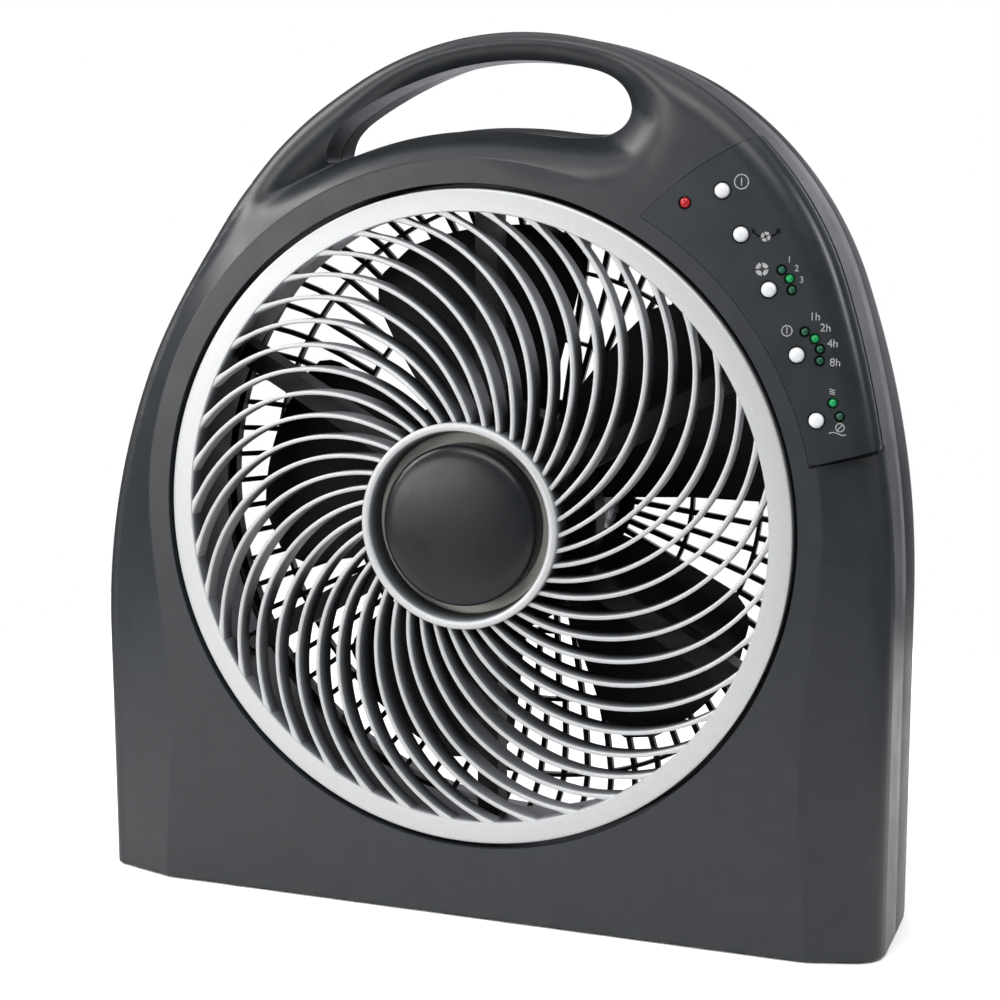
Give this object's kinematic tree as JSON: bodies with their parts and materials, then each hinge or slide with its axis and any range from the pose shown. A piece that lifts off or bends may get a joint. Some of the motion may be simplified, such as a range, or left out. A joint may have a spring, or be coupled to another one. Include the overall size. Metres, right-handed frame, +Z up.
{
  "type": "box fan",
  "caption": "Arch-topped box fan with a carrying handle, a turning louvre grille in front of the blade, a domed rear guard and an angled push-button panel.",
  "frame": {"origin": "centre of the bounding box in X and Y, on the floor plane under the feet", "axes": "+X to the fan's right as seen from the front, +Y from the front face to the rear guard, +Z up; front faces -Y"},
  "size_m": [0.445, 0.158, 0.4661],
  "materials": {
    "housing": "satin moulded charcoal",
    "black_plastic": "moulded, semi-matt",
    "silver_plastic": "painted silver",
    "steel": "zinc plated or ground",
    "aluminium": "pressed sheet",
    "copper": "varnished winding wire",
    "board": "solder mask",
    "button": "moulded white",
    "green_lens": "clear coloured lens",
    "red_lens": "clear coloured lens",
    "rubber": "matt"
  },
  "bodies": {
    "housing": {"front_shell": "housing", "rear_shell": "housing", "rear_grille": "black_plastic", "grille_motor": "steel", "grille_spider": "black_plastic", "spider_screw_1": "steel", "spider_screw_2": "steel", "spider_screw_3": "steel", "motor_stator": "steel", "winding_front": "copper", "winding_rear": "copper", "motor_front_bell": "aluminium", "motor_rear_bell": "aluminium", "bearing_front": "steel", "bearing_rear": "steel", "motor_bolt_1": "steel", "motor_bolt_2": "steel", "motor_bolt_3": "steel", "motor_bolt_4": "steel", "control_panel": "housing", "control_board": "board", "lamp_speed_1": "green_lens", "lamp_speed_2": "green_lens", "lamp_speed_3": "green_lens", "lamp_timer_1": "green_lens", "lamp_timer_2": "green_lens", "lamp_timer_3": "green_lens", "lamp_timer_4": "green_lens", "lamp_mode_1": "green_lens", "lamp_mode_2": "green_lens", "receiver_window": "red_lens", "power_board": "board", "motor_capacitor": "black_plastic", "cord_gland": "rubber", "case_screw_1": "steel", "case_screw_2": "steel", "case_screw_3": "steel", "case_screw_4": "steel", "case_screw_5": "steel", "case_screw_6": "steel", "foot_1": "rubber", "foot_2": "rubber", "foot_3": "rubber", "foot_4": "rubber"},
    "grille": {"turning_grille": "silver_plastic", "grille_hub_cap": "housing", "grille_drive_shaft": "steel"},
    "impeller": {"fan_blade": "black_plastic", "blade_nut": "black_plastic", "motor_shaft": "steel", "motor_rotor": "steel"},
    "power_button": {"button_power": "button"},
    "grille_button": {"button_grille": "button"},
    "speed_button": {"button_speed": "button"},
    "timer_button": {"button_timer": "button"},
    "mode_button": {"button_mode": "button"}
  },
  "joints": [
    {"name": "grille_spin", "type": "hinge", "parent": "housing", "child": "grille", "pos_m": [0, -0.064, 0.214], "axis": [0, 1, 0], "continuous": true},
    {"name": "impeller_spin", "type": "hinge", "parent": "housing", "child": "impeller", "pos_m": [0, 0.015, 0.214], "axis": [0, 1, 0], "continuous": true},
    {"name": "power_press", "type": "slide", "parent": "housing", "child": "power_button", "axis": [0, 1, 0], "range_m": [0, 0.001], "stiffness_N_per_m": 800, "springref_m": -0.0005},
    {"name": "grille_press", "type": "slide", "parent": "housing", "child": "grille_button", "axis": [0, 1, 0], "range_m": [0, 0.001], "stiffness_N_per_m": 800, "springref_m": -0.0005},
    {"name": "speed_press", "type": "slide", "parent": "housing", "child": "speed_button", "axis": [0, 1, 0], "range_m": [0, 0.001], "stiffness_N_per_m": 800, "springref_m": -0.0005},
    {"name": "timer_press", "type": "slide", "parent": "housing", "child": "timer_button", "axis": [0, 1, 0], "range_m": [0, 0.001], "stiffness_N_per_m": 800, "springref_m": -0.0005},
    {"name": "mode_press", "type": "slide", "parent": "housing", "child": "mode_button", "axis": [0, 1, 0], "range_m": [0, 0.001], "stiffness_N_per_m": 800, "springref_m": -0.0005}
  ]
}
